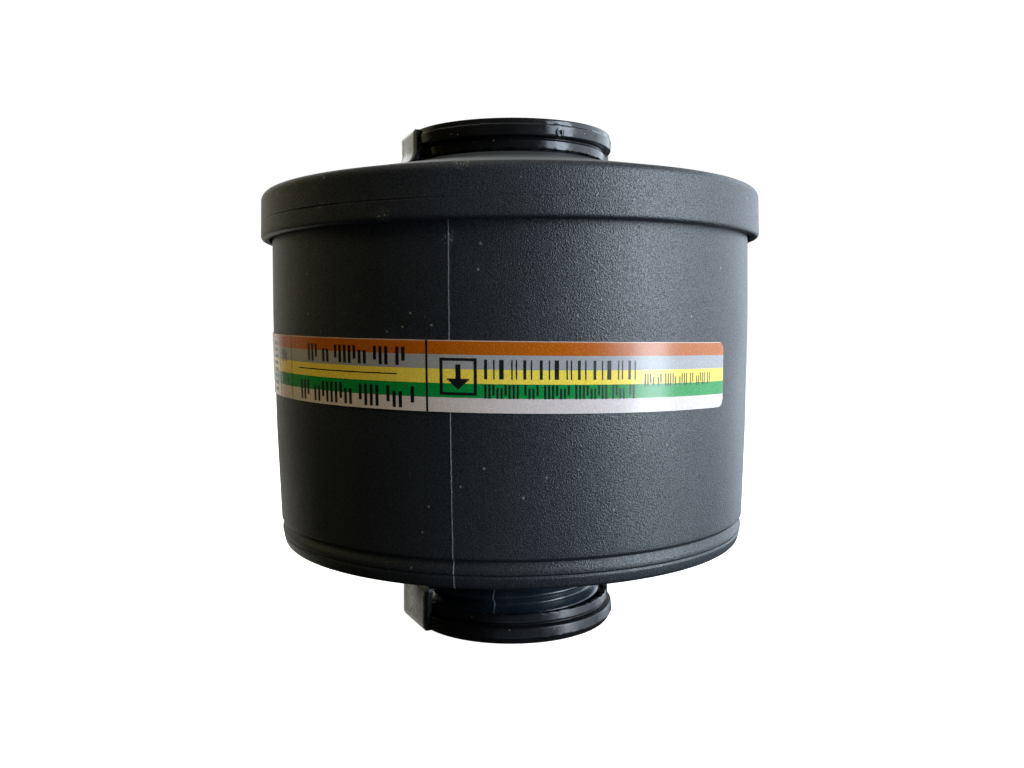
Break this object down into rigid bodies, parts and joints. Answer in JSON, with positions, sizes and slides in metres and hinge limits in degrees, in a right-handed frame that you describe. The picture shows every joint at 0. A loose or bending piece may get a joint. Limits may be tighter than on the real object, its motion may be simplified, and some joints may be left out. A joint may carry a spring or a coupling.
{
  "type": "respirator filter canister",
  "caption": "Screw-in combination filter canister of a full face respirator, with a threaded outlet neck, a domed lid, a striped label and a pull-off cap on each end.",
  "frame": {"origin": "on the canister's axis, at the end face of the outlet cap that it stands on", "axes": "+Z along the canister's axis, from the outlet neck to the inlet collar; the label's front faces -Y"},
  "size_m": [0.111, 0.111, 0.1088],
  "materials": {
    "charcoal_plastic": "fine moulded grain, satin",
    "soft_black": "smooth, semi-gloss",
    "label_film": "printed film, glossy, five colour stripes",
    "seal_rubber": "matt",
    "wad_foam": "closed-cell foam",
    "grid_plastic": "plain moulded",
    "filter_paper": "glass-fibre paper",
    "potting_resin": "cast resin",
    "felt": "needled felt",
    "granules": "matt black granules",
    "spring_steel": "flat-rolled"
  },
  "bodies": {
    "canister": {"canister_body": "charcoal_plastic", "canister_lid": "charcoal_plastic", "identification_label": "label_film", "lid_seal_ring": "seal_rubber", "inlet_grid": "grid_plastic", "particle_filter_gasket": "seal_rubber", "particle_filter_frame": "grid_plastic", "particle_filter_potting": "potting_resin", "particle_filter_pleats": "filter_paper", "spacer_ring": "grid_plastic", "pressure_spring": "spring_steel", "pressure_grid": "grid_plastic", "upper_felt_pad": "felt", "carbon_layer_ammonia": "granules", "separator_fleece": "felt", "carbon_layer_vapour": "granules", "lower_felt_pad": "felt", "support_grid": "grid_plastic", "outlet_screen": "grid_plastic"},
    "inlet_closure": {"inlet_cap": "soft_black", "inlet_cap_wad": "wad_foam"},
    "outlet_closure": {"outlet_cap": "soft_black", "outlet_cap_wad": "wad_foam"}
  },
  "joints": [
    {"name": "inlet_cap_pull", "type": "slide", "parent": "canister", "child": "inlet_closure", "axis": [0, 0, 1], "range_m": [0, 0.03]},
    {"name": "outlet_cap_pull", "type": "slide", "parent": "outlet_closure", "child": "canister", "axis": [0, 0, 1], "range_m": [0, 0.03]}
  ]
}
